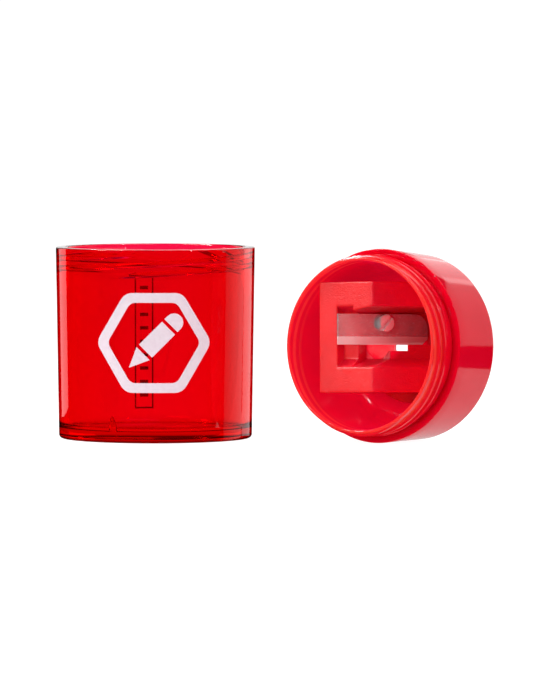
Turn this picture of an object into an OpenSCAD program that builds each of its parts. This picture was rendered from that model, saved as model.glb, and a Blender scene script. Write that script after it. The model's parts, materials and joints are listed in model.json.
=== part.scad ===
// Pencil sharpener with a screw-on shavings cup.
// The cup stands on its base. The head lies beside it on its tapered side, with its open end to the front left.
// Origin at the centre of the cup's base, +Z up, -Y to the front. Millimetres.

/* [Cup] */
// Outer diameter at the rim
cup_rim_d = 46; // [44:0.1:50]
// Outer diameter at the base
cup_base_d = 44.6; // [43:0.1:46]
// Height
cup_h = 44.2; // [38:0.1:60]
// Wall thickness
cup_wall = 2.2; // [2.1:0.1:2.3]
// Floor thickness
cup_floor = 2.5; // [1.5:0.1:4]

/* [Head] */
// Outer diameter of the cover at its open shoulder
shoulder_d = 44.4; // [43:0.1:46]
// Outer diameter of the cover at its closed end
closed_d = 42.6; // [42:0.1:43.4]
// Length of the cover along the head's axis
shell_len = 16.4; // [14:0.1:20]
// Thickness of the cover's closed end
shell_end = 1.4; // [1:0.1:2]
// Diameter of the pencil hole in the cover
pencil_hole_d = 12.4; // [12:0.1:12.8]
// Length of the threaded collar beyond the shoulder
collar_len = 7.9; // [7:0.1:9]
// Diameter of the cavity for the shavings at its floor
cavity_d = 37; // [36.8:0.1:37.2]
// Diameter of the cavity at its mouth
mouth_d = 38.8; // [38.4:0.1:39]

/* [Thread] */
// Outer diameter of the male thread
male_crest_d = 41.4; // [41.2:0.1:41.5]
// Diameter of the collar between its ridges
male_root_d = 40.1; // [40:0.1:40.3]
// Inner diameter of the female thread
female_crest_d = 40.6; // [40.5:0.1:40.8]
// Number of starts
thread_starts = 3; // [2:1:4]
// Axial distance between neighbouring ridges
ridge_pitch = 2.3; // [2:0.1:2.6]
// Axial width of a ridge at its foot
ridge_foot = 1.2; // [0.9:0.1:1.3]
// Axial width of a ridge at its crest
ridge_crest = 0.6; // [0.4:0.1:0.8]

/* [Sharpener body] */
// Distance of the body's end face from the closed end
face_a = 22.8; // [22:0.1:23.4]
// Depth from the outer cheek to the blade seat
cheek_depth = 7; // [6:0.1:8]
// Diameter of the exit hole at the tip of the pencil
exit_hole_d = 5.9; // [5:0.1:6.2]
// Diameter of the clear space behind the exit hole
relief_d = 7; // [6.4:0.1:7.4]
// Height of the chip slot below the cutting edge
slot_h = 1.45; // [1:0.05:1.6]

/* [Blade] */
// Length
blade_len = 23.8; // [23:0.1:24]
// Width
blade_w = 7; // [6.8:0.05:7.2]
// Thickness
blade_t = 0.6; // [0.5:0.05:0.8]
// Width of the ground bevel
bevel_w = 1.85; // [1.5:0.05:2.2]
// Angle between the blade and the head's axis
blade_tilt = 25.5; // [25:0.5:26]
// Distance from the closed end to where the blade's plane crosses the axis
blade_cross = 12.6; // [12.4:0.1:12.8]

/* [Blade screw] */
// Diameter of the screw's head
screw_head_d = 4.05; // [3.8:0.05:4.2]
// Height of the screw's head
screw_head_h = 1.6; // [1.2:0.1:1.8]
// Diameter of the screw's shank
screw_d = 2.4; // [2.2:0.1:2.5]
// Length of the shank
screw_len = 5.2; // [4:0.1:5.4]
// Angle of the screwdriver slot
screw_slot_angle = 42; // [0:1:90]

/* [Prints] */
// Width of the emblem across its corners
emblem_w = 25.4; // [20:0.1:28]
// Width of the emblem's outline
emblem_line = 2.1; // [1.5:0.1:3]
// Height of the emblem's middle above the base
emblem_z = 23; // [20:0.5:26]
// Thickness of the ink
ink_t = 0.06; // [0.04:0.01:0.1]

/* [Layout] */
// Angle of the head's axis to the front
head_turn = 34.7; // [30:0.1:40]
// Sideways distance from the cup's axis to the middle of the head's closed end
head_x = 60.6; // [58:0.1:70]
// Distance of that point behind the cup's axis
head_y = -5.5; // [-10:0.5:10]
// How far the head is rolled about its own axis
head_roll = 2.4; // [-10:0.1:10]

/* [Hidden] */

$fn = 96;
thread_steps = 44;      // segments in a full turn of a ridge
bury = 0.25;            // how far a ridge's foot reaches into its wall
fit_gap = 0.05;         // clearance between fixed mouldings
run_gap = 0.05;         // clearance round the screw's shank
far = 60;               // longer than anything it cuts

cup_rim_r = cup_rim_d / 2;
cup_base_r = cup_base_d / 2;
cup_bore_r = cup_rim_r - cup_wall;
cup_foot_r = cup_base_r - cup_wall;
cup_edge = 0.9;
cup_fillet = 1.4;
cup_thread_depth = 6.2;
cup_rib_angle = -27;
cup_rib_w = 1.8;
cup_rib_h = 3.2;
cup_rib_t = 1;

shoulder_r = shoulder_d / 2;
closed_r = closed_d / 2;
shell_edge = 1.5;
liner_r = male_root_d / 2;
cavity_r = cavity_d / 2;
mouth_r = mouth_d / 2;
liner_floor = 1.2;
liner_fillet = 2.4;
floor_a = shell_end + liner_floor;
collar_a = shell_len + collar_len;
plug_r = 13;
head_tilt = atan((shoulder_r - closed_r) / shell_len);
head_z = closed_r * cos(head_tilt);

block_left = -12;
block_fold = 2.65;
block_low = -10.65;
block_high = 14.6;
pocket_left = -7.1;
step_r = -3.2;
step_1_a = 19.7;
step_2_a = 16.65;
plate_a = 14.05;
pocket_low = -4.95;
pocket_low_deep = -3;
pocket_high = 9.1;
pocket_high_deep = 7.6;
flank_n = 4.8;
slot_r = 5.3;
cheek_slope = tan(blade_tilt);
cone_gap = 0.3;         // wall between the cone and the blade seat
cone_tip_a = blade_cross - cone_gap / sin(blade_tilt);
cone_entry_r = cone_tip_a * cheek_slope;
relief_a = cone_tip_a - relief_d / 2 / cheek_slope;

edge_v = 0.3;
blade_deep = -10.4;
blade_round = 3.3;
blade_chamfer = 1.3;
blade_edge_t = 0.05;
screw_u = 1.3;
screw_v = 5.3;
blade_hole_d = screw_d + 0.4;

label_x = -3.3;
label_w = 4.7;
label_low = 5.5;
label_high = 37;
label_line = 0.35;
label_bars = 9;

// Points along an arc, from one angle to another
function arc(cx, cy, r, from, to, steps = 8) =
    [for (i = [0 : steps]) let (a = from + (to - from) * i / steps) [cx + r * cos(a), cy + r * sin(a)]];

// Outer radius of the cup at a height
function cup_r(z) = cup_base_r + (cup_rim_r - cup_base_r) * z / cup_h;

// Inner radius of the cup at a height
function cup_inner_r(z) = cup_foot_r + (cup_bore_r - cup_foot_r) * z / cup_h;

// Share of a ridge's full height at a place along it, which fades out at both ends
function fade(t) = max(0.12, min(1, min(t, 1 - t) / 0.12));

// One helical ridge on a round wall. The foot is in the wall, and the crest stands off it.
module ridge(foot_r, crest_r, z_from, z_to, lead, start_angle) {
    side = sign(crest_r - foot_r);
    steps = ceil(thread_steps * (z_to - z_from) / lead);
    sections = [for (i = [0 : steps])
        let (t = i / steps, z = z_from + (z_to - z_from) * t, a = start_angle + 360 * (z - z_from) / lead,
             r_out = foot_r + (crest_r - foot_r) * fade(t), r_in = foot_r - side * bury)
        [for (p = [[r_in, -ridge_foot / 2], [r_out, -ridge_crest / 2], [r_out, ridge_crest / 2],
                   [r_in, ridge_foot / 2]])
            [p[0] * cos(a), p[0] * sin(a), z + p[1]]]];
    points = [for (s = sections) for (p = s) p];
    sides = [for (i = [0 : steps - 1]) for (j = [0 : 3]) let (k = (j + 1) % 4)
        side > 0 ? [4 * i + j, 4 * i + k, 4 * i + 4 + k, 4 * i + 4 + j]
                 : [4 * i + 4 + j, 4 * i + 4 + k, 4 * i + k, 4 * i + j]];
    first = side > 0 ? [3, 2, 1, 0] : [0, 1, 2, 3];
    last = side > 0 ? [for (j = [0 : 3]) 4 * steps + j] : [for (j = [3 : -1 : 0]) 4 * steps + j];
    polyhedron(points, concat([first], sides, [last]), convexity = 4);
}

// All the starts of one thread
module thread(foot_r, crest_r, z_from, z_to) {
    lead = thread_starts * ridge_pitch;
    for (s = [0 : thread_starts - 1])
        ridge(foot_r, crest_r, z_from, z_to, lead, 360 * s / thread_starts);
}

// Puts the head, drawn with its axis along +Z from its closed end, where it lies
module in_head() {
    translate([head_x, head_y, head_z])
        rotate([0, 0, -head_turn])
            rotate([90 - head_tilt, 0, 0])
                rotate([0, 0, head_roll])
                    children();
}

// The blade's own frame: X off the blade's face, Y up its width, Z along it towards the open end
module in_blade() {
    translate([0, 0, blade_cross])
        rotate([0, -blade_tilt, 0])
            children();
}

// Extrudes a shape drawn in the head's X and Z along its Y
module along_y(from, to) {
    translate([0, to, 0])
        rotate([90, 0, 0])
            linear_extrude(to - from)
                children();
}

// Extrudes a shape drawn in the head's Y and Z along its X
module along_x(from, to) {
    translate([from, 0, 0])
        rotate([90, 0, 90])
            linear_extrude(to - from)
                children();
}

module cup_wall_profile() {
    polygon(concat(
        [[0, 0]],
        arc(cup_base_r - cup_edge, cup_edge, cup_edge, -90, 0),
        [[cup_rim_r, cup_h - 0.2], [cup_rim_r - 0.2, cup_h], [cup_bore_r + 0.3, cup_h],
         [cup_inner_r(cup_h), cup_h - 0.5]],
        arc(cup_inner_r(cup_floor) - cup_fillet, cup_floor + cup_fillet, cup_fillet, 0, -90),
        [[0, cup_floor]]));
}

// Small gabled rib moulded in the corner of the floor and the wall
module cup_rib() {
    rib_r = cup_inner_r(cup_floor) - cup_rib_t;
    top = cup_floor + cup_rib_h;
    rotate([0, 0, cup_rib_angle - 90])
        translate([rib_r, 0, 0])
            rotate([90, 0, 90])
                linear_extrude(cup_rib_t + 0.6)
                    polygon([[-cup_rib_w / 2, cup_floor - 0.5], [cup_rib_w / 2, cup_floor - 0.5],
                             [cup_rib_w / 2, top - cup_rib_w], [0, top], [-cup_rib_w / 2, top - cup_rib_w]]);
}

module cup() {
    color([0.84, 0, 0.11, 0.6]) {
        rotate_extrude()
            cup_wall_profile();
        cup_rib();
        thread(cup_inner_r(cup_h), female_crest_d / 2, cup_h - cup_thread_depth, cup_h - ridge_foot);
    }
}

// A thin skin of ink on the outside of the cup, between two heights
module ink_skin(z_from, z_to) {
    rotate_extrude()
        polygon([[cup_r(z_from), z_from], [cup_r(z_from) + ink_t, z_from],
                 [cup_r(z_to) + ink_t, z_to], [cup_r(z_to), z_to]]);
}

module rounded_hexagon(across, r) {
    reach = across / 2 - r;
    polygon([for (i = [0 : 5]) each arc(reach * cos(60 * i), reach * sin(60 * i), r, 60 * i - 30, 60 * i + 30, 5)]);
}

// A pencil in three blocks: the rubber, the barrel and the point
module pencil_sign() {
    w = 4.2;
    rotate(-45) {
        polygon(concat([[-w / 2, 5.6]], [[w / 2, 5.6]], arc(0, 6.6, w / 2, 0, 180)));
        translate([-w / 2, -2.6])
            square([w, 7.4]);
        polygon([[-w / 2, -3.4], [0, -8], [w / 2, -3.4]]);
    }
}

module cup_emblem() {
    color([0.95, 0.9, 0.92])
        intersection() {
            ink_skin(emblem_z - emblem_w / 2, emblem_z + emblem_w / 2);
            translate([0, 0, emblem_z])
                rotate([90, 0, 0])
                    linear_extrude(far) {
                        difference() {
                            rounded_hexagon(emblem_w, 3);
                            rounded_hexagon(emblem_w - 2.3 * emblem_line, 2);
                        }
                        pencil_sign();
                    }
        }
}

module back_label() {
    height = label_high - label_low;
    step = height / (label_bars + 1);
    color([0.15, 0.02, 0.03])
        intersection() {
            ink_skin(label_low - 1, label_high + 1);
            translate([label_x - label_w / 2, far, label_low])
                rotate([90, 0, 0])
                    linear_extrude(far) {
                        difference() {
                            square([label_w, height]);
                            translate([label_line, label_line])
                                square([label_w - 2 * label_line, height - 2 * label_line]);
                        }
                        for (i = [1 : label_bars])
                            translate([label_w * 0.28, i * step - 0.4])
                                square([label_w * 0.44, 0.8]);
                    }
        }
}

module head_shell() {
    hole_r = pencil_hole_d / 2;
    bore_r = liner_r + fit_gap;
    slope_r = closed_r + (shoulder_r - closed_r) * shell_edge / shell_len;
    in_head()
        color([0.86, 0, 0.14])
            rotate_extrude()
                polygon(concat(
                    [[hole_r, 0]],
                    arc(slope_r - shell_edge, shell_edge, shell_edge, -90, 0),
                    [[shoulder_r, shell_len - 0.25], [shoulder_r - 0.25, shell_len],
                     [bore_r, shell_len], [bore_r, shell_end], [hole_r, shell_end]]));
}

// The shavings cavity as a solid, less a gap all round it
module cavity(gap) {
    r = cavity_r - gap;
    top_r = mouth_r - gap;
    draft = (mouth_r - cavity_r) / (collar_a - floor_a);
    rotate_extrude()
        polygon(concat(
            [[0, floor_a]],
            arc(r - liner_fillet, floor_a + liner_fillet, liner_fillet, -90, 0),
            [[top_r, collar_a], [top_r + draft, collar_a + 1], [0, collar_a + 1]]));
}

module threaded_collar() {
    in_head()
        color([0.98, 0.24, 0.16]) {
            difference() {
                translate([0, 0, shell_end])
                    cylinder(r = liner_r, h = collar_a - shell_end);
                cavity(0);
                translate([0, 0, shell_end - 1])
                    cylinder(r = plug_r + fit_gap, h = liner_floor + 2);
            }
            thread(liner_r, male_crest_d / 2, shell_len + ridge_foot, collar_a - ridge_foot / 2 - 0.2);
        }
}

module body_blank() {
    cheek_foot = block_fold + (face_a - floor_a) * cheek_slope;
    intersection() {
        along_y(block_low, block_high)
            polygon([[block_left, floor_a], [cheek_foot, floor_a], [block_fold, face_a], [block_left, face_a]]);
        cavity(fit_gap);
    }
    translate([0, 0, shell_end])
        cylinder(r = plug_r, h = floor_a - shell_end);
}

// Straight pocket steps below the blade, and the room under its free end
module pocket_steps() {
    rise = face_a - step_2_a;
    top = face_a + 2;
    low_top_1 = pocket_low_deep + (pocket_low - pocket_low_deep) * (top - step_1_a) / (face_a - step_1_a);
    low_top = pocket_low_deep + (pocket_low - pocket_low_deep) * (top - step_2_a) / rise;
    high_top = pocket_high_deep + (pocket_high - pocket_high_deep) * (top - step_1_a) / (face_a - step_1_a);
    along_x(pocket_left, step_r + 0.01)
        polygon([[pocket_low_deep, step_1_a], [pocket_high_deep, step_1_a], [high_top, top], [low_top_1, top]]);
    along_x(step_r, far)
        polygon([[pocket_low_deep, step_2_a], [edge_v, step_2_a], [edge_v, top], [low_top, top]]);
}

// Pocket over the blade seat, and the lower flank beside it
module pocket_over_seat() {
    high_slope = (pocket_high - pocket_high_deep) / cheek_depth;
    out = cheek_depth + 6;
    low_slope = (pocket_low - pocket_low_deep) / (cheek_depth - flank_n);
    in_blade()
        translate([0, 0, -far / 2])
            linear_extrude(far) {
                polygon([[0, edge_v], [out, edge_v], [out, pocket_high_deep + high_slope * out],
                         [0, pocket_high_deep]]);
                polygon([[flank_n, edge_v + 0.01], [flank_n, pocket_low_deep],
                         [cheek_depth, pocket_low], [out, pocket_low + low_slope * (out - cheek_depth)],
                         [out, edge_v + 0.01]]);
            }
}

module pencil_bore() {
    translate([0, 0, shell_end - 0.01])
        cylinder(r1 = cone_entry_r - (shell_end - 0.01) * cheek_slope, r2 = relief_d / 2,
                 h = relief_a - shell_end + 0.01);
    translate([0, 0, relief_a - 0.01])
        cylinder(d = relief_d, h = plate_a - relief_a + 0.01);
    translate([0, 0, plate_a - 0.01])
        cylinder(d = exit_hole_d, h = far);
}

module sharpener_body() {
    in_head()
        color([0.96, 0.18, 0.2])
            difference() {
                body_blank();
                intersection() {
                    pocket_over_seat();
                    translate([pocket_left, -far, floor_a + 0.4])
                        cube([far, 2 * far, far]);
                }
                pocket_steps();
                pencil_bore();
                translate([0, edge_v - slot_h, floor_a])
                    cube([slot_r, slot_h, far]);
                in_blade()
                    translate([-screw_len + blade_t, screw_v, screw_u])
                        rotate([0, 90, 0])
                            cylinder(d = screw_d + 2 * run_gap, h = screw_len + 1);
            }
}

module blade() {
    deep = blade_deep;
    front = blade_deep + blade_len;
    top = edge_v + blade_w;
    bevel_angle = atan((blade_t - blade_edge_t) / bevel_w);
    in_head()
        in_blade()
            color([0.75, 0.7, 0.7])
                difference() {
                    rotate([90, 0, 90])
                        linear_extrude(blade_t)
                            polygon(concat(
                                [[edge_v + blade_chamfer, deep], [edge_v, deep + blade_chamfer],
                                 [edge_v, front], [top, front]],
                                arc(top - blade_round, deep + blade_round, blade_round, 0, -90)));
                    translate([blade_edge_t, edge_v, deep - 1])
                        rotate([0, 0, -bevel_angle])
                            translate([0, -bevel_w, 0])
                                cube([2, 2 * bevel_w + 0.15, blade_len + 2]);
                    translate([-1, screw_v, screw_u])
                        rotate([0, 90, 0])
                            cylinder(d = blade_hole_d, h = 3);
                }
}

module blade_screw() {
    r = screw_head_d / 2;
    dome = 0.35;
    under = blade_t + fit_gap;
    in_head()
        in_blade()
            translate([0, screw_v, screw_u])
                rotate([0, 90, 0])
                    color([0.8, 0.78, 0.78])
                        difference() {
                            rotate_extrude()
                                polygon(concat(
                                    [[0, blade_t - screw_len + 0.3], [screw_d / 2 - 0.3, blade_t - screw_len + 0.3],
                                     [screw_d / 2, blade_t - screw_len + 0.8], [screw_d / 2, under], [r, under]],
                                    arc(r - dome, under + screw_head_h - dome, dome, 0, 90, 5),
                                    [[0, under + screw_head_h]]));
                            rotate([0, 0, -screw_slot_angle])
                                translate([-0.35, -far / 2, under + screw_head_h - 0.85])
                                    cube([0.7, far, 2]);
                        }
}

cup();
cup_emblem();
back_label();
head_shell();
threaded_collar();
sharpener_body();
blade();
blade_screw();
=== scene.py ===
"""Looks of a pencil sharpener: a clear red shavings cup, and beside it the round head that screws into it.

Lengths are in millimetres. The head's pieces are made in the head's own frame, with X to its right, Y up and
Z along its axis from the closed end to the open one.
"""

import json
import math

import bmesh
import bpy
import numpy as np
from mathutils import Matrix, Vector


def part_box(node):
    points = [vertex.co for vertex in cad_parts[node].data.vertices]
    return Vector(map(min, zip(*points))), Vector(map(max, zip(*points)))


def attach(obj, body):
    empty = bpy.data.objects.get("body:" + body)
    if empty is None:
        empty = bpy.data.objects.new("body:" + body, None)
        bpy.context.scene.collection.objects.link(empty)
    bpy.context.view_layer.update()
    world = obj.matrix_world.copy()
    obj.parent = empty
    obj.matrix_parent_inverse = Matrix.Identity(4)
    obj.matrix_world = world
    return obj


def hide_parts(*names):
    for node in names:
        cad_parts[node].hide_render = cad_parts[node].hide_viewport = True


MM = 0.001
TURN = 2 * math.pi

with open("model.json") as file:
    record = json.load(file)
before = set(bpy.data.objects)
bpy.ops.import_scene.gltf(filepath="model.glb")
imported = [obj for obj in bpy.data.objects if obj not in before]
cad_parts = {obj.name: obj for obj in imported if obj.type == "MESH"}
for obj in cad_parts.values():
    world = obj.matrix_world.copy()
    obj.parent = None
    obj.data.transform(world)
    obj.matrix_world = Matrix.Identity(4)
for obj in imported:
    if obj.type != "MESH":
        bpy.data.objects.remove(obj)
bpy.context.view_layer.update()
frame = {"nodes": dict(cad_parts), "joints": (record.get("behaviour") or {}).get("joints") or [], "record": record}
record = frame["record"]

# Cup
CUP_RIM_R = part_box("cup")[1].x / MM
CUP_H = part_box("cup")[1].z / MM
CUP_BASE_R = 22.3
CUP_WALL = 2.2
CUP_FLOOR = 2.5
CUP_EDGE = 0.9
CUP_FILLET = 1.4
CUP_THREAD_DEPTH = 6.2
RIB_ANGLE = math.radians(-117)
RIB_W = 1.8
RIB_H = 3.2
RIB_T = 1.0
GABLE = 2

# Thread
STARTS = 3
PITCH = 2.3
LEAD = STARTS * PITCH
RIDGE_FOOT = 1.2
RIDGE_CREST = 0.6
FEMALE_CREST_R = 20.3
MALE_CREST_R = 20.7
MALE_ROOT_R = 20.05

# Head
SHOULDER_R = 22.2
CLOSED_R = 21.3
SHELL_LEN = 16.4
SHELL_END = 1.4
SHELL_EDGE = 1.5
HOLE_R = 6.2
COLLAR_END = 24.3
CAVITY_R = 18.5
MOUTH_R = 19.4
THREAD_START = SHELL_LEN + RIDGE_FOOT
CAVITY_FLOOR = 2.6
CAVITY_FILLET = 2.4
PLUG_R = 13.0

# Sharpener body
FACE = 22.8
BLOCK_LEFT = -12.0
BLOCK_FOLD = 2.65
BLOCK_LOW = -10.65
BLOCK_HIGH = 14.6
TILT = math.radians(25.5)
CROSS = 12.6
CONE_TIP = CROSS - 0.3 / math.sin(TILT)
POCKET_LEFT = -7.1
POCKET_STEP = -3.2
STEP_1 = 19.7
STEP_2 = 16.65
PLATE = 14.05
POCKET_LOW = -4.95
POCKET_LOW_DEEP = -3.0
POCKET_HIGH = 9.1
POCKET_HIGH_DEEP = 7.6
CHEEK_DEPTH = 7.0
FLANK = 4.8
RELIEF_R = 3.5
EXIT_R = 2.95
SLOT_R = 5.3
SLOT_H = 1.45
EDGE_V = 0.3

# Blade and screw
BLADE_T = 0.6
BEVEL_W = 1.85
SCREW_U = 1.3
SCREW_V = 5.3
SCREW_HEAD_R = 2.025
SCREW_HEAD_H = 1.6
SCREW_R = 1.2
SCREW_LEN = 5.2
SCREW_SLOT = math.radians(-42)
SCREW_SLOT_W = 0.72
SCREW_SLOT_DEEP = 0.85

# Steps between points, and how far two pieces that touch stay apart
WALL_STEP = 2.5
FLOOR_STEP = 3
HEAD_STEP = 4
RIB_STEP = 0.15
CUP_THREAD_STEP = 0.05
COLLAR_THREAD_STEP = 0.075
TOUCH = 0.05

# Looks: the middle of a noise's range, the depth of the waves and the marks in a surface, in metres
NOISE_LOW = 0.3
NOISE_HIGH = 0.7
WAVE_DEPTH = 0.00006
MARK_DEPTH = 0.00002
GRIND_DEPTH = 0.00003
GRAIN_DEPTH = 0.00016

# Set and camera, in metres
SET_MIDDLE = (0.028, -0.01, 0.022)
BOWL_Z = -0.00005
FLAT_Z = -0.0001
CAMERA_AT = (0.02766, -1.479, 0.09585)
CAMERA_DOWN = math.radians(2.872)
CAMERA_LENS = 334.9
WORLD_GLOW = 0.42

# Lights: name, bearing in degrees, distance, height, width, length, power in W, rays that don't see it
LIGHTS = (
    ("right_softbox", 115, 0.65, 0.183, 0.81, 0.407, 0.58, ()),
    ("rear_softbox", 141, 0.65, 0.034, 0.312, 0.253, 0.21, ()),
    ("back_softbox", 158, 0.88, 0.45, 0.42, 0.59, 0.86, ("transmission",)),
    ("left_softbox", 225, 0.65, 0.15, 0.26, 0.44, 0.31, ()),
    ("rim_card", 184, 0.9, 0.138, 0.69, 0.25, 0.52, ("transmission",)),
    ("top_softbox", 75, 0.2, 0.6, 0.55, 0.5, 1.6, ()),
    ("front_flash", 45, 0.75, 0.55, 0.09, 0.09, 0.9, ()),
    ("left_flash", -100, 0.47, 0.52, 0.15, 0.15, 3.0, ()),
    ("left_strip", -72, 0.92, 0.77, 0.65, 0.2, 8.0, ("diffuse", "transmission")),
    ("spark", -43, 0.9, 0.6, 0.05, 0.05, 5.0, ("diffuse", "transmission")),
    ("front_key", -33, 1.3, 0.42, 0.8, 0.6, 6.6, ("glossy",)),
)


# ---------------------------------------------------------------- frames

def head_frame():
    """The head's own frame in mm as a matrix, from the pencil hole and the blade screw in the record."""
    hole = next(m for m in record["mounts"] if m["name"] == "pencil_hole")
    screw = next(j for j in frame["joints"] if j["name"] == "blade_screw_turn")
    axis = -Vector(hole["axis"]).normalized()
    off_blade = Vector(screw["axis"])
    right = (off_blade - axis * off_blade.dot(axis)).normalized()
    up = axis.cross(right)
    middle = Vector(hole["pos_m"]) - axis * hole["dims"]["length_mm"] / 2 * MM
    turn = Matrix((right, up, axis)).transposed().to_4x4()
    return Matrix.Translation(middle) @ turn @ Matrix.Scale(MM, 4)


def blade_frame():
    """The blade's frame inside the head's: X off the face, Y up its width, Z along it to the open end."""
    return Matrix.Translation((0, 0, CROSS)) @ Matrix.Rotation(-TILT, 4, "Y")


HEAD = head_frame()
BLADE = HEAD @ blade_frame()
ROW = Matrix.Scale(MM, 4)


# ---------------------------------------------------------------- mesh helpers

def make(name, points, faces, place, body=None):
    """A smooth mesh piece from points in mm in the frame that place gives. The set's pieces have no body."""
    mesh = bpy.data.meshes.new(name)
    mesh.from_pydata([tuple(p) for p in points], [], [tuple(f) for f in faces])
    mesh.transform(place)
    mesh.update()
    mesh.shade_smooth()
    piece = bpy.data.objects.new(name, mesh)
    bpy.context.scene.collection.objects.link(piece)
    if body:
        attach(piece, body)
    return piece


def arc(x, y, r, start, stop, steps=8):
    """Points on an arc, with its angles in degrees."""
    angles = np.radians(np.linspace(start, stop, steps + 1))
    return [(x + r * math.cos(a), y + r * math.sin(a)) for a in angles]


def fill(points, step):
    """A line through the points with no stretch longer than step."""
    line = [points[0]]
    for a, b in zip(points, points[1:]):
        parts = max(1, math.ceil(math.dist(a, b) / step))
        line += [tuple(np.add(a, np.subtract(b, a) * i / parts)) for i in range(1, parts + 1)]
    return line


def ease(x):
    """Goes smoothly from 0 to 1 as x does."""
    x = np.clip(x, 0, 1)
    return x * x * (3 - 2 * x)


def ridges(angle, z, start, stop):
    """Height of the thread's ridges, from 0 to 1, on a wall between two heights, fading at both ends."""
    soft = 0.05
    fade = 0.12 * (stop - start)
    rise = angle / TURN * LEAD
    middle = start + rise + np.round((z - start - rise) / PITCH) * PITCH
    away = np.abs(z - middle)
    flank = (RIDGE_FOOT - RIDGE_CREST) / 2 + 2 * soft
    height = ease((RIDGE_FOOT / 2 + soft - away) / flank)
    return height * ease(np.minimum(middle - start, stop - middle) / fade)


def lathe(name, profile, angles, place, body=None, radius=None, loop=False):
    """Turns a profile of (r, z) about Z. radius(r, z, angle) may change the radii.

    With loop, the profile's last point joins its first.
    """
    r = np.array([p[0] for p in profile])
    z = np.array([p[1] for p in profile])
    grid_a, grid_r = np.meshgrid(angles, r, indexing="ij")
    grid_z = np.broadcast_to(z, grid_r.shape)
    if radius is not None:
        grid_r = radius(grid_r, grid_z, grid_a)
    points = np.stack([grid_r * np.cos(grid_a), grid_r * np.sin(grid_a), grid_z], -1).reshape(-1, 3)
    rows, count = len(profile), len(angles)
    index = np.arange(count * rows).reshape(count, rows)
    index[:, r == 0] = index[0, r == 0]
    faces = []
    for i in range(count):
        k = (i + 1) % count
        for j in range(rows if loop else rows - 1):
            m = (j + 1) % rows
            faces.append(tuple(dict.fromkeys((index[i, j], index[k, j], index[k, m], index[i, m]))))
    piece = make(name, points, faces, place, body)
    clean(piece.data)
    return piece


def clean(mesh):
    """Drops points that no face uses, and turns the faces outwards."""
    bm = bmesh.new()
    bm.from_mesh(mesh)
    bmesh.ops.delete(bm, geom=[v for v in bm.verts if not v.link_faces], context="VERTS")
    bmesh.ops.recalc_face_normals(bm, faces=bm.faces)
    bm.to_mesh(mesh)
    bm.free()


def round_angles(steps, middle=None, reach=0.0, fine=0.0):
    """Angles round a full turn, closer together near middle."""
    angles = np.arange(steps) * TURN / steps - math.pi
    if middle is None:
        return angles
    close = np.arange(middle - reach, middle + reach, fine)
    far = angles[np.abs(angles - middle) > reach + fine / 2]
    return np.sort(np.concatenate([far, close]))


# ---------------------------------------------------------------- solids from distance fields

def smooth_max(a, b, r):
    """The larger of two distances, with the corner between them rounded to about r."""
    h = np.maximum(r - np.abs(a - b), 0) / r
    return np.maximum(a, b) + h * h * r / 4


def cut(solid, tool, r):
    """solid less tool, with the new edges rounded."""
    return smooth_max(solid, -tool, r)


def within(r, *distances):
    """The space where all the distances are negative, with rounded edges."""
    total = distances[0]
    for d in distances[1:]:
        total = smooth_max(total, d, r)
    return total


def solid(name, field, low, high, step, keep, place, body, slot):
    """A mesh of the surface where field(x, y, z) is 0, with its points pulled onto it.

    keep is the share of the faces that stay after thinning.
    """
    axes = [np.arange(a - step, b + 2 * step, step) for a, b in zip(low, high)]
    value = field(*np.meshgrid(*axes, indexing="ij"))
    inside = value < 0
    shape = np.array(value.shape)
    total = np.zeros((*(shape - 1), 3))
    count = np.zeros(shape - 1)
    faces = []
    for axis in range(3):
        u, v = (axis + 1) % 3, (axis + 2) % 3
        first = [slice(None)] * 3
        second = [slice(None)] * 3
        first[axis], second[axis] = slice(0, -1), slice(1, None)
        a, b = value[tuple(first)], value[tuple(second)]
        crossing = inside[tuple(first)] != inside[tuple(second)]
        where = np.argwhere(crossing)
        share = a[crossing] / (a[crossing] - b[crossing])
        spot = where.astype(float)
        spot[:, axis] += share
        cells = []
        for du, dv in ((0, 0), (1, 0), (1, 1), (0, 1)):
            cell = where.copy()
            cell[:, u] -= du
            cell[:, v] -= dv
            cells.append(cell)
            np.add.at(total, tuple(cell.T), spot)
            np.add.at(count, tuple(cell.T), 1)
        quads = np.stack([np.ravel_multi_index(tuple(c.T), tuple(shape - 1)) for c in cells], 1)
        outwards = inside[tuple(first)][crossing]
        quads[~outwards] = quads[~outwards][:, ::-1]
        faces.append(quads)
    faces = np.concatenate(faces)
    used, faces = np.unique(faces, return_inverse=True)
    faces = faces.reshape(-1, 4)
    points = total.reshape(-1, 3)[used] / count.reshape(-1)[used][:, None]
    points = points * step + np.array([a[0] for a in axes])
    nudge = 0.01
    for _ in range(4):
        here = field(*points.T)
        rise = np.stack([field(*(points + np.eye(3)[i] * nudge).T) - here for i in range(3)], 1) / nudge
        points -= rise * np.clip(here / np.maximum((rise ** 2).sum(1), 0.1), -step, step)[:, None]
    piece = make(name, points, faces.tolist(), place, body)
    if keep < 1:
        thin = piece.modifiers.new("thin", "DECIMATE")
        thin.ratio = keep
    return piece


# ---------------------------------------------------------------- node helpers

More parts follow.
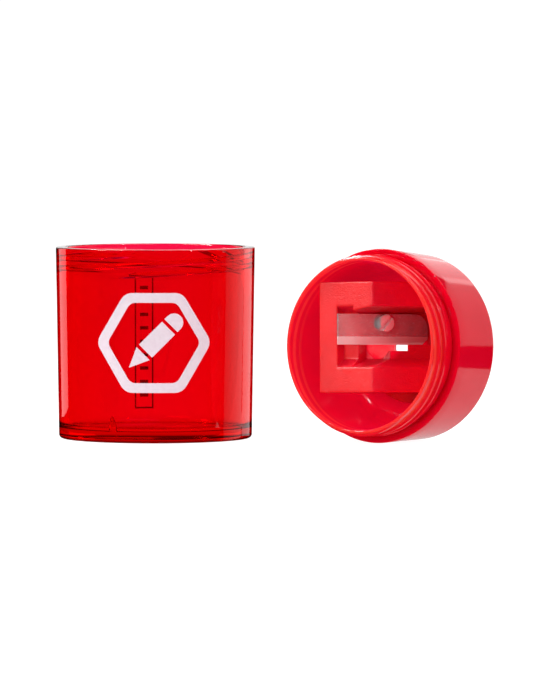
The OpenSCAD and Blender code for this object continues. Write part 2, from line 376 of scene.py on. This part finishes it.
class Nodes:
    """A small help to write a material's nodes in order."""

    def __init__(self, name):
        self.material = bpy.data.materials.new(name)
        self.material.use_nodes = True
        self.tree = self.material.node_tree
        self.tree.nodes.clear()
        self.output = self.add("ShaderNodeOutputMaterial")

    def add(self, kind, inputs=None, **settings):
        node = self.tree.nodes.new(kind)
        for key, value in settings.items():
            setattr(node, key, value)
        for key, value in (inputs or {}).items():
            self.put(node.inputs[key], value)
        return node

    def put(self, socket, value):
        if isinstance(value, bpy.types.NodeSocket):
            self.tree.links.new(value, socket)
        else:
            socket.default_value = value

    def place(self, about):
        """Coordinates in mm in the frame of an empty."""
        return self.add("ShaderNodeTexCoord", object=about).outputs["Object"]

    def noise(self, where, scale, detail=3.0, roughness=0.5):
        inputs = {"Vector": where, "Scale": scale, "Detail": detail, "Roughness": roughness}
        return self.add("ShaderNodeTexNoise", inputs).outputs["Fac"]

    def stretch(self, where, scale):
        return self.add("ShaderNodeMapping", {"Vector": where, "Scale": scale}).outputs["Vector"]

    def ramp(self, value, low, high, to_low, to_high):
        node = self.add("ShaderNodeMapRange", {"Value": value, "From Min": low, "From Max": high,
                                               "To Min": to_low, "To Max": to_high})
        return node.outputs["Result"]

    def spread(self, noise, low, high):
        """The middle of a noise's range, spread from low to high."""
        return self.ramp(noise, NOISE_LOW, NOISE_HIGH, low, high)

    def split(self, where):
        """The parts of a vector, by name."""
        return self.add("ShaderNodeSeparateXYZ", {"Vector": where}).outputs

    def mix(self, share, a, b):
        node = self.add("ShaderNodeMix", {"Factor": share}, data_type="RGBA")
        self.put(node.inputs[6], a)
        self.put(node.inputs[7], b)
        return node.outputs[2]

    def bump(self, height, strength, distance):
        inputs = {"Height": height, "Strength": strength, "Distance": distance}
        return self.add("ShaderNodeBump", inputs).outputs["Normal"]

    def math(self, operation, a, b=0.0):
        node = self.add("ShaderNodeMath", operation=operation)
        self.put(node.inputs[0], a)
        self.put(node.inputs[1], b)
        return node.outputs[0]

    def away(self, a, b):
        """The distance from an axis, from the two coordinates across it."""
        return self.math("SQRT", self.math("ADD", self.math("MULTIPLY", a, a), self.math("MULTIPLY", b, b)))

    def principled(self, **inputs):
        shader = self.add("ShaderNodeBsdfPrincipled", {k.replace("_", " "): v for k, v in inputs.items()})
        self.put(self.output.inputs["Surface"], shader.outputs[0])
        return shader


def axes_empty(name, place, body):
    """An empty that carries a frame in mm with a body, for materials to measure from."""
    empty = bpy.data.objects.new(name, None)
    empty.matrix_world = place
    bpy.context.scene.collection.objects.link(empty)
    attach(empty, body)
    return empty


CUP_AXES = axes_empty("cup_axes", ROW, "cup_body")
HEAD_AXES = axes_empty("head_axes", HEAD, "head_body")
BLADE_AXES = axes_empty("blade_axes", BLADE, "head_body")
SCREW_AXES = axes_empty("screw_axes", BLADE @ Matrix.Translation((0, SCREW_V, SCREW_U)), "screw_body")


# ---------------------------------------------------------------- materials

def clear_red():
    """Clear moulded plastic. The colour is in the volume, so it grows deeper where the wall is thicker."""
    n = Nodes("clear_red_plastic")
    where = n.place(CUP_AXES)
    waves = n.noise(n.stretch(where, (1, 1, 0.35)), 0.12, 2.0)
    fine = n.noise(where, 1.2, 3.0)
    n.principled(Base_Color=(0.83, 1, 1, 1), Roughness=n.spread(fine, 0.004, 0.014), IOR=1.57,
                 Transmission_Weight=1.0, Normal=n.bump(waves, 0.2, WAVE_DEPTH))
    inside = n.add("ShaderNodeVolumeAbsorption", {"Color": (0.995, 0.0, 0.45, 1), "Density": 2400.0})
    n.put(n.output.inputs["Volume"], inside.outputs[0])
    return n.material


def ink(name, colour, dark, about, roughness):
    """Printed ink, a little uneven in cover and in gloss."""
    n = Nodes(name)
    where = n.place(about)
    cover = n.ramp(n.noise(where, 0.9, 4.0, 0.6), 0.35, 0.75, 0.0, 1.0)
    fine = n.noise(where, 9.0, 2.0)
    n.principled(Base_Color=n.mix(cover, colour, dark), Roughness=n.spread(fine, roughness, roughness + 0.12),
                 IOR=1.5, Normal=n.bump(fine, 0.15, MARK_DEPTH))
    return n.material


def gloss_red():
    """Opaque polished plastic, with slow waves in it from moulding."""
    n = Nodes("gloss_red_plastic")
    where = n.place(HEAD_AXES)
    flow = n.noise(n.stretch(where, (1, 1, 0.4)), 0.11, 2.0)
    fine = n.noise(where, 2.2, 3.0)
    colour = n.mix(n.spread(flow, 0, 1), (0.74, 0.0, 0.016, 1), (0.82, 0.001, 0.02, 1))
    n.principled(Base_Color=colour, Roughness=n.spread(fine, 0.06, 0.12), IOR=1.53,
                 Subsurface_Weight=0.25, Subsurface_Radius=(0.9, 0.08, 0.08), Subsurface_Scale=0.0012,
                 Normal=n.bump(flow, 0.2, WAVE_DEPTH))
    return n.material


def collar_red():
    """Glossy and a little translucent. The paler bands where the grooves outside leave the mouth's wall thin are
    painted light, in place of light shining through the wall, and so are the paler lip at the rim and the faint
    glow inside the mouth.
    """
    n = Nodes("translucent_red_plastic_painted_light")
    where = n.place(HEAD_AXES)
    flow = n.noise(n.stretch(where, (1, 1, 0.4)), 0.13, 2.0)
    fine = n.noise(where, 2.5, 3.0)
    deep = n.mix(n.spread(flow, 0, 1), (0.82, 0.001, 0.018, 1), (0.88, 0.002, 0.022, 1))
    part = n.split(where)
    rise = n.math("MULTIPLY", n.math("ARCTAN2", part["Y"], part["X"]), LEAD / TURN)
    along = n.math("SUBTRACT", n.math("SUBTRACT", part["Z"], THREAD_START), rise)
    off_groove = n.math("ABSOLUTE", n.math("SUBTRACT", n.math("FRACT", n.math("DIVIDE", along, PITCH)), 0.5))
    # Painted light: paler orange bands where the wall between the grooves outside is thin.
    thin = n.mix(n.ramp(off_groove, 0.12, 0.3, 0, 1), (0.97, 0.05, 0.034, 1), (0.82, 0.006, 0.02, 1))
    colour = n.mix(n.ramp(part["Z"], SHELL_LEN + 2.2, SHELL_LEN + 4.2, 0, 1), deep, thin)
    # Painted light: a paler lip at the rim's thin edge.
    painted_rim_light = n.ramp(part["Z"], COLLAR_END - 0.5, COLLAR_END - 0.2, 0, 1)
    colour = n.mix(painted_rim_light, colour, (0.95, 0.035, 0.03, 1))
    # Painted light: surfaces inside the mouth glow faintly, in place of light coming in through the wall.
    away = n.away(part["X"], part["Y"])
    painted_inner_glow = n.ramp(away, MOUTH_R + 0.15, MOUTH_R + 0.35, 0.17, 0.0)
    n.principled(Base_Color=colour, Roughness=n.spread(fine, 0.05, 0.1), IOR=1.53,
                 Subsurface_Weight=0.6, Subsurface_Radius=(1.0, 0.1, 0.08), Subsurface_Scale=0.0015,
                 Emission_Color=(1.0, 0.006, 0.07, 1), Emission_Strength=painted_inner_glow,
                 Normal=n.bump(flow, 0.2, WAVE_DEPTH))
    return n.material


def matte_red():
    """Spark-eroded plastic with painted light and shade: paler on faces towards the opening, as if lit, and deeper
    elsewhere, as if shaded, with a painted shadow by the blade and a painted glow in the bore.
    """
    n = Nodes("matte_red_plastic_painted_light")
    where = n.place(HEAD_AXES)
    cloudy = n.noise(where, 0.25, 3.0)
    grain = n.noise(where, 2.6, 4.0, 0.7)
    # Painted light and shade: the lit colour for faces towards the opening, the shaded colour for the rest.
    light = n.mix(n.spread(cloudy, 0, 1), (0.86, 0.01, 0.015, 1), (0.92, 0.018, 0.022, 1))
    deep = n.mix(n.spread(cloudy, 0, 1), (0.76, 0.0, 0.02, 1), (0.82, 0.001, 0.025, 1))
    part = n.split(where)
    off_blade = n.split(n.place(BLADE_AXES))["X"]
    # Painted shadow in the recess by the blade.
    painted_shade_by_blade = n.math("MULTIPLY", n.ramp(off_blade, 4.0, 6.2, 1, 0), n.ramp(part["X"], -3, 3, 0, 1))
    deep = n.mix(painted_shade_by_blade, deep, (0.5, 0.0, 0.008, 1))
    # Faces that look out of the opening, the front and a step in the pocket, get the painted lit colour.
    off_step = n.math("ABSOLUTE", n.math("SUBTRACT", part["Z"], STEP_1))
    step = n.math("MULTIPLY", n.ramp(off_step, 0.12, 0.3, 0.8, 0),
                  n.ramp(part["X"], POCKET_STEP - 0.3, POCKET_STEP, 1, 0))
    front = n.math("MULTIPLY", n.ramp(part["Z"], FACE - 0.4, FACE - 0.1, 0, 1),
                   n.ramp(part["X"], BLOCK_FOLD - 0.9, BLOCK_FOLD + 0.2, 1, 0))
    front = n.math("MAXIMUM", front, step)
    # Painted light: the bore behind the pencil's tip glows, in place of light coming in from the pencil hole.
    away = n.away(part["X"], part["Y"])
    bore = n.math("MULTIPLY", n.ramp(away, 4.0, 5.0, 1, 0),
                  n.ramp(part["Z"], STEP_2 - 0.2, STEP_2 + 0.1, 1, 0))
    n.principled(Base_Color=n.mix(front, deep, light), Roughness=n.spread(grain, 0.26, 0.42), IOR=1.5,
                 Emission_Color=(1.0, 0.0, 0.03, 1), Emission_Strength=n.math("MULTIPLY", bore, 0.4),
                 Subsurface_Weight=0.4, Subsurface_Radius=(1.0, 0.1, 0.08), Subsurface_Scale=0.0012,
                 Normal=n.bump(grain, 0.8, GRAIN_DEPTH))
    return n.material


def blade_steel():
    """Rolled steel on the flat, and grinding lines across the bevel. Painted shade darkens it towards the inner
    end, where the bevel carries a painted red reflection, and painted light makes the underside paler.
    """
    n = Nodes("ground_blade_steel")
    where = n.place(BLADE_AXES)
    rolled = n.noise(n.stretch(where, (1, 9, 0.35)), 1.6, 4.0, 0.6)
    ground = n.noise(n.stretch(where, (0.3, 0.12, 7)), 1.6, 4.0, 0.65)
    part = n.split(where)
    bevel = n.ramp(part["Y"], EDGE_V + BEVEL_W - 0.06, EDGE_V + BEVEL_W + 0.06, 1.0, 0.0)
    grain = n.add("ShaderNodeMix", {"Factor": bevel, 2: rolled, 3: ground}).outputs[0]
    spots = n.ramp(n.noise(where, 0.7, 5.0, 0.65), 0.4, 0.75, 0, 1)
    # Painted shade and light: darker towards the inner end, paler on the underside.
    painted_shade_and_light = n.math("MAXIMUM", n.ramp(part["Z"], -10, 10, 0, 1), n.ramp(part["X"], 0.1, 0.3, 1, 0))
    colour = n.mix(spots, n.mix(painted_shade_and_light, (0.36, 0.26, 0.27, 1), (0.8, 0.82, 0.82, 1)),
                   n.mix(painted_shade_and_light, (0.28, 0.19, 0.2, 1), (0.68, 0.69, 0.69, 1)))
    # The bevel turns from near white to a painted red reflection towards the inner end.
    colour = n.mix(bevel, colour, n.mix(painted_shade_and_light, (0.7, 0.22, 0.26, 1), (0.98, 0.97, 0.96, 1)))
    rough = n.math("ADD", n.ramp(grain, 0.25, 0.75, 0.16, 0.3), n.math("MULTIPLY", bevel, 0.12))
    n.principled(Base_Color=colour, Metallic=n.ramp(bevel, 0, 1, 0.8, 0.5), Roughness=rough,
                 Normal=n.bump(grain, 0.35, GRIND_DEPTH))
    return n.material


def screw_steel():
    """Bright plating over fine rings from turning."""
    n = Nodes("bright_screw_steel")
    where = n.place(SCREW_AXES)
    part = n.split(where)
    away = n.away(part["Y"], part["Z"])
    rings = n.add("ShaderNodeTexNoise", {"W": away, "Scale": 14.0, "Detail": 3.0}, noise_dimensions="1D")
    marks = n.noise(where, 3.0, 4.0)
    n.principled(Base_Color=n.mix(marks, (0.98, 0.97, 0.98, 1), (0.92, 0.91, 0.92, 1)), Metallic=0.7,
                 Roughness=n.spread(marks, 0.1, 0.24), Normal=n.bump(rings.outputs["Fac"], 0.3, MARK_DEPTH))
    return n.material


def paint(piece, material):
    piece.data.materials.clear()
    piece.data.materials.append(material)


# ---------------------------------------------------------------- cup

def cup_outer(z):
    return CUP_BASE_R + (CUP_RIM_R - CUP_BASE_R) * z / CUP_H


def cup_inner(z):
    return cup_outer(z) - CUP_WALL


def cup_profile():
    """From the middle of the underside round the wall and back to the middle of the floor."""
    rim = 0.25
    lip = 0.4
    outer_top = (cup_outer(CUP_H - rim), CUP_H - rim)
    wall_low = cup_inner(CUP_FLOOR + CUP_FILLET)
    under = fill([(0, 0), (CUP_BASE_R - CUP_EDGE, 0)], FLOOR_STEP)
    edge = arc(cup_outer(CUP_EDGE) - CUP_EDGE, CUP_EDGE, CUP_EDGE, -90, 0, 10)
    wall = fill([edge[-1], outer_top], WALL_STEP)
    top = arc(outer_top[0] - rim, outer_top[1], rim, 0, 90, 6)
    lip_arc = arc(cup_inner(CUP_H) + lip, CUP_H - lip, lip, 90, 180, 6)
    thread_low = CUP_H - CUP_THREAD_DEPTH - 1
    threads = fill([lip_arc[-1], (cup_inner(thread_low), thread_low)], CUP_THREAD_STEP)
    over_rib = CUP_FLOOR + RIB_H + 0.5
    inner = fill([threads[-1], (cup_inner(over_rib), over_rib)], WALL_STEP)
    ribbed = fill([inner[-1], (wall_low, CUP_FLOOR + CUP_FILLET)], RIB_STEP)
    corner = arc(wall_low - CUP_FILLET, CUP_FLOOR + CUP_FILLET, CUP_FILLET, 0, -90, 10)
    floor = fill([corner[-1], (0, CUP_FLOOR)], FLOOR_STEP)
    outside = under + edge[1:] + wall[1:] + top[1:]
    return outside + lip_arc + threads[1:] + inner[1:] + ribbed[1:] + corner[1:] + floor[1:]


def cup_radius(r, z, angle):
    """Adds the thread and the small gabled rib to the cup's inner wall."""
    start, stop = CUP_H - CUP_THREAD_DEPTH, CUP_H - RIDGE_FOOT
    wall = (r > cup_inner(CUP_FLOOR) - CUP_FILLET - 0.01) & (r < cup_inner(z) + 0.02)
    crest = cup_inner(z) - FEMALE_CREST_R
    height = ridges(angle, z, start, stop) * crest
    soft = 0.3
    aside = np.abs(angle - RIB_ANGLE) * CUP_BASE_R
    top = CUP_FLOOR + RIB_H
    gable = np.minimum(RIB_W / 2 - aside, (top - z - GABLE * aside) / math.hypot(1, GABLE))
    rib = ease(gable / soft + 0.5) * np.clip(r - (cup_inner(CUP_FLOOR) - RIB_T), 0, RIB_T)
    rib = np.where((z < top + 0.5) & (z > CUP_FLOOR), rib, 0)
    return np.where(wall, r - height - rib, r)


def make_cup():
    angles = round_angles(360, RIB_ANGLE, 0.09, 0.006)
    cup = lathe("cup_wall", cup_profile(), angles, ROW, "cup_body", cup_radius)
    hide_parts("cup")
    paint(cup, clear_red())


def print_cup():
    """The two prints keep their CAD shapes."""
    white = ink("white_pad_print", (0.86, 0.72, 0.79, 1), (0.8, 0.64, 0.72, 1), CUP_AXES, 0.45)
    dark = ink("dark_pad_print", (0.34, 0.05, 0.05, 1), (0.42, 0.07, 0.07, 1), CUP_AXES, 0.5)
    paint(frame["nodes"]["cup_emblem"], white)
    paint(frame["nodes"]["back_label"], dark)


# ---------------------------------------------------------------- head

def make_shell():
    edge_r = CLOSED_R + (SHOULDER_R - CLOSED_R) * SHELL_EDGE / SHELL_LEN
    soft = 0.2
    profile = (
        arc(HOLE_R + soft, soft, soft, 180, 270, 4)
        + arc(edge_r - SHELL_EDGE, SHELL_EDGE, SHELL_EDGE, -90, 0, 12)
        + arc(SHOULDER_R - soft, SHELL_LEN - soft, soft, 0, 90, 5)
        + [(MALE_ROOT_R + TOUCH, SHELL_LEN), (MALE_ROOT_R + TOUCH, SHELL_END), (HOLE_R, SHELL_END)]
    )
    shell = lathe("shell_cover", fill(profile, HEAD_STEP), round_angles(256), HEAD, "head_body",
                  loop=True)
    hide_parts("head_shell")
    paint(shell, gloss_red())


def cavity_r(z):
    return CAVITY_R + (MOUTH_R - CAVITY_R) * (z - CAVITY_FLOOR) / (COLLAR_END - CAVITY_FLOOR)


def make_collar():
    rim = 0.25
    fillet_top = CAVITY_FLOOR + CAVITY_FILLET
    thread_stop = COLLAR_END - RIDGE_FOOT / 2 - 0.2
    outside = fill([(MALE_ROOT_R, SHELL_END), (MALE_ROOT_R, SHELL_LEN - 0.5)], HEAD_STEP)
    threads = fill([outside[-1], (MALE_ROOT_R, COLLAR_END - rim)], COLLAR_THREAD_STEP)
    profile = (
        outside + threads[1:]
        + arc(MALE_ROOT_R - rim, COLLAR_END - rim, rim, 0, 90, 5)[1:]
        + arc(MOUTH_R + rim, COLLAR_END - rim, rim, 90, 180, 5)
        + fill([(cavity_r(z), z) for z in (COLLAR_END - 2 * rim, fillet_top + 0.5)], FLOOR_STEP)
        + arc(CAVITY_R - CAVITY_FILLET, fillet_top, CAVITY_FILLET, 0, -90, 12)
        + [(PLUG_R + TOUCH, CAVITY_FLOOR), (PLUG_R + TOUCH, SHELL_END)]
    )

    def radius(r, z, angle):
        crest = ridges(angle, z, THREAD_START, thread_stop) * (MALE_CREST_R - MALE_ROOT_R)
        return np.where(r > MALE_ROOT_R - 0.01, r + crest, r)

    collar = lathe("threaded_liner", profile, round_angles(256), HEAD, "head_body", radius,
                   loop=True)
    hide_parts("threaded_collar")
    paint(collar, collar_red())


def slope(a, at_a, b, at_b, x):
    """The straight line through (a, at_a) and (b, at_b), read at x."""
    return at_a + (at_b - at_a) * (x - a) / (b - a)


def block_field(x, y, z):
    """Distance to the sharpener body's surface, with its edges and corners rounded as moulded."""
    edge = 0.35
    n = x * math.cos(TILT) + (z - CROSS) * math.sin(TILT)
    away = np.hypot(x, y)
    cheek = n - (BLOCK_FOLD * math.cos(TILT) + (FACE - CROSS) * math.sin(TILT))
    block = within(edge, BLOCK_LEFT - x, cheek, BLOCK_LOW - y, y - BLOCK_HIGH, z - FACE,
                   CAVITY_FLOOR - 0.3 - z, away - cavity_r(z) + TOUCH)
    plug = within(0.1, away - PLUG_R, SHELL_END - z, z - CAVITY_FLOOR)
    body = np.minimum(block, plug)

    inner = 0.25
    seat_high = y - slope(0, POCKET_HIGH_DEEP, CHEEK_DEPTH, POCKET_HIGH, n)
    seat = within(inner, -n, EDGE_V - y, seat_high, POCKET_LEFT - x, CAVITY_FLOOR + 0.4 - z)
    flank_low = slope(FLANK, POCKET_LOW_DEEP, CHEEK_DEPTH, POCKET_LOW, n) - y
    flank = within(inner, FLANK - n, flank_low, y - EDGE_V - 1, CAVITY_FLOOR + 0.4 - z)
    room_1 = within(inner, POCKET_LEFT - x, x - POCKET_STEP - 0.5, STEP_1 - z,
                    slope(STEP_1, POCKET_LOW_DEEP, FACE, POCKET_LOW, z) - y,
                    y - slope(STEP_1, POCKET_HIGH_DEEP, FACE, POCKET_HIGH, z))
    room_2 = within(inner, POCKET_STEP - x, STEP_2 - z, y - EDGE_V - 0.5,
                    slope(STEP_2, POCKET_LOW_DEEP, FACE, POCKET_LOW, z) - y)
    pocket = np.minimum(np.minimum(seat, flank), np.minimum(room_1, room_2))

    cone = (away - (CONE_TIP - z) * math.tan(TILT)) * math.cos(TILT)
    cone = np.maximum(cone, z - PLATE)
    relief = np.maximum(away - RELIEF_R, z - PLATE)
    bore = np.minimum(np.minimum(cone, relief), away - EXIT_R)
    chip_slot = within(0.1, -x, x - SLOT_R, EDGE_V - SLOT_H - y, y - EDGE_V, CAVITY_FLOOR + 0.2 - z)
    v, u = y, -x * math.sin(TILT) + (z - CROSS) * math.cos(TILT)
    thread_hole = np.maximum(np.hypot(v - SCREW_V, u - SCREW_U) - SCREW_R - TOUCH, -n - SCREW_LEN + BLADE_T)

    body = cut(body, pocket, edge)
    body = cut(body, bore, 0.2)
    body = cut(body, chip_slot, 0.2)
    return cut(body, thread_hole, 0.1)


def make_block():
    right = BLOCK_FOLD + (FACE - SHELL_END) * math.tan(TILT)
    reach = max(right, PLUG_R)
    low = (-PLUG_R, -PLUG_R, SHELL_END)
    high = (reach, BLOCK_HIGH, FACE)
    block = solid("sharpener_block", block_field, low, high, step=0.2, keep=0.35, place=HEAD,
                  body="head_body", slot="matte_red")
    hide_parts("sharpener_body")
    paint(block, matte_red())


def dress_blade():
    """The blade keeps its CAD shape, with its edges eased."""
    blade = frame["nodes"]["blade"]
    paint(blade, blade_steel())
    edge = blade.modifiers.new("edge", "BEVEL")
    edge.width = 0.04 * MM
    edge.segments = 2
    edge.limit_method = "ANGLE"
    edge.angle_limit = math.radians(35)


def screw_field(x, y, z):
    """A cheese head with a slot, on a plain shank, with its axis along X."""
    away = np.hypot(y, z)
    under = BLADE_T + TOUCH
    top = under + SCREW_HEAD_H
    dome_r = 9.0
    dome = np.sqrt((x - top + dome_r) ** 2 + away ** 2) - dome_r
    head = within(0.35, away - SCREW_HEAD_R, dome)
    head = within(0.12, head, under - x)
    shank = within(0.5, away - SCREW_R, BLADE_T - SCREW_LEN + 0.3 - x, x - under - 0.5)
    across = z * math.cos(SCREW_SLOT) - y * math.sin(SCREW_SLOT)
    slot = within(0.15, np.abs(across) - SCREW_SLOT_W / 2, top - SCREW_SLOT_DEEP - x)
    return cut(np.minimum(head, shank), slot, 0.14)


def make_screw():
    low = (BLADE_T - SCREW_LEN + 0.3, -SCREW_HEAD_R, -SCREW_HEAD_R)
    high = (BLADE_T + 0.1 + SCREW_HEAD_H, SCREW_HEAD_R, SCREW_HEAD_R)
    place = BLADE @ Matrix.Translation((0, SCREW_V, SCREW_U))
    screw = solid("slotted_screw", screw_field, low, high, step=0.07, keep=1, place=place,
                  body="screw_body", slot="screw_steel")
    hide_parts("blade_screw")
    paint(screw, screw_steel())


# ---------------------------------------------------------------- studio

def bearing(angle, distance, height):
    """A place about the set's middle: 0 degrees towards the camera, 90 to the right of the picture."""
    a = math.radians(angle)
    return Vector((distance * math.sin(a), -distance * math.cos(a), height))


def hide_from(piece, *rays):
    """Hides a light or a piece of the set from these kinds of rays."""
    for ray in rays:
        setattr(piece, "visible_" + ray, False)


def softbox(name, angle, distance, height, width, length, power, unseen_by):
    """A soft light that faces the set's middle."""
    light = bpy.data.lights.new(name, "AREA")
    light.shape = "RECTANGLE"
    light.size = width
    light.size_y = length
    light.energy = power
    lamp = bpy.data.objects.new(name, light)
    lamp.location = Vector(SET_MIDDLE) + bearing(angle, distance, height)
    lamp.rotation_euler = (Vector(SET_MIDDLE) - lamp.location).to_track_quat("-Z", "Y").to_euler()
    hide_from(lamp, "camera", *unseen_by)
    bpy.context.scene.collection.objects.link(lamp)


def pale(name, glow):
    """A pale material that glows evenly up to 0.4 m, and then fades with height up to 0.9 m."""
    n = Nodes(name)
    where = n.add("ShaderNodeTexCoord").outputs["Object"]
    tone = n.spread(n.noise(where, 3.0), 0.23, 0.24)
    grey = n.add("ShaderNodeCombineColor", {"Red": tone, "Green": tone, "Blue": tone}).outputs[0]
    n.principled(Base_Color=grey, Roughness=0.8, Specular_IOR_Level=0.0, Emission_Color=(1, 1, 1, 1),
                 Emission_Strength=n.ramp(n.split(where)["Z"], 0.4, 0.9, glow, glow * 0.15))
    return n.material


def card_glow():
    """Light that is brighter towards the back."""
    n = Nodes("card")
    where = n.add("ShaderNodeTexCoord").outputs["Object"]
    n.principled(Base_Color=(0, 0, 0, 1), Roughness=0.8, Specular_IOR_Level=0.0, Emission_Color=(1, 1, 1, 1),
                 Emission_Strength=n.ramp(n.split(where)["Y"], -0.016, -0.0035, 0.14, 0.7))
    return n.material


def flat_piece(name, corners, material, *unseen_by):
    """A flat four-cornered piece of the set, in metres. The camera doesn't see it, and it casts no shadow."""
    mesh = bpy.data.meshes.new(name)
    mesh.from_pydata(corners, [], [(0, 1, 2, 3)])
    mesh.materials.append(material)
    piece = bpy.data.objects.new(name, mesh)
    bpy.context.scene.collection.objects.link(piece)
    hide_from(piece, "camera", "transmission", "shadow", *unseen_by)


def make_floor():
    """A wide pale floor that curves up far away."""
    flat, bend, top = 2500, 900, 5000
    profile = [(0, 0), (300, 0), (flat, 0)] + arc(flat, bend, bend, -90, 0, 16)[1:] + [(flat + bend, top)]
    bowl = lathe("floor", profile, round_angles(64), Matrix.Translation((0, 0, BOWL_Z)) @ ROW)
    bowl.data.materials.append(pale("pale_floor", 0.97))
    hide_from(bowl, "diffuse", "glossy", "shadow")


def make_stand_ins():
    """What surfaces mirror and catch in place of the floor, and a small card beside the cup's right side."""
    near = [(0.052, -0.027, FLAT_Z), (0.13, -0.027, FLAT_Z), (0.13, 0.04, FLAT_Z), (0.052, 0.04, FLAT_Z)]
    flat_piece("floor_near", near, pale("floor_near", 0.48), "diffuse")
    card = [(0.0295, y, z) for y, z in ((-0.0157, -0.01), (-0.0035, -0.01), (-0.0035, 0.05), (-0.0157, 0.05))]
    flat_piece("card", card, card_glow(), "diffuse")
    wide = [(-0.15, -0.18, FLAT_Z), (0.22, -0.18, FLAT_Z), (0.22, 0.15, FLAT_Z), (-0.15, 0.15, FLAT_Z)]
    flat_piece("floor_bounce", wide, pale("floor_bounce", 0.7), "glossy")


def make_studio():
    make_floor()
    make_stand_ins()
    for light in LIGHTS:
        softbox(*light)
    world = bpy.data.worlds.new("studio")
    world.use_nodes = True
    background = world.node_tree.nodes["Background"]
    background.inputs["Color"].default_value = (1, 1, 1, 1)
    background.inputs["Strength"].default_value = WORLD_GLOW
    bpy.context.scene.world = world
    world.cycles_visibility.glossy = False
    bpy.context.scene.view_settings.view_transform = "Standard"
    cycles = bpy.context.scene.cycles
    cycles.max_bounces = 24
    cycles.diffuse_bounces = 12
    cycles.glossy_bounces = 8
    cycles.transmission_bounces = 20


def make_camera():
    """The camera looks along +Y, a little down."""
    camera = bpy.data.cameras.new("camera")
    camera.lens = CAMERA_LENS
    camera.sensor_width = 36.0
    camera.clip_start = 0.05
    camera.clip_end = 30
    seat = bpy.data.objects.new("camera", camera)
    seat.location = CAMERA_AT
    seat.rotation_euler = (math.radians(90) - CAMERA_DOWN, 0, 0)
    bpy.context.scene.collection.objects.link(seat)
    bpy.context.scene.camera = seat


make_camera()
make_studio()
make_cup()
print_cup()
make_shell()
make_collar()
make_block()
dress_blade()
make_screw()
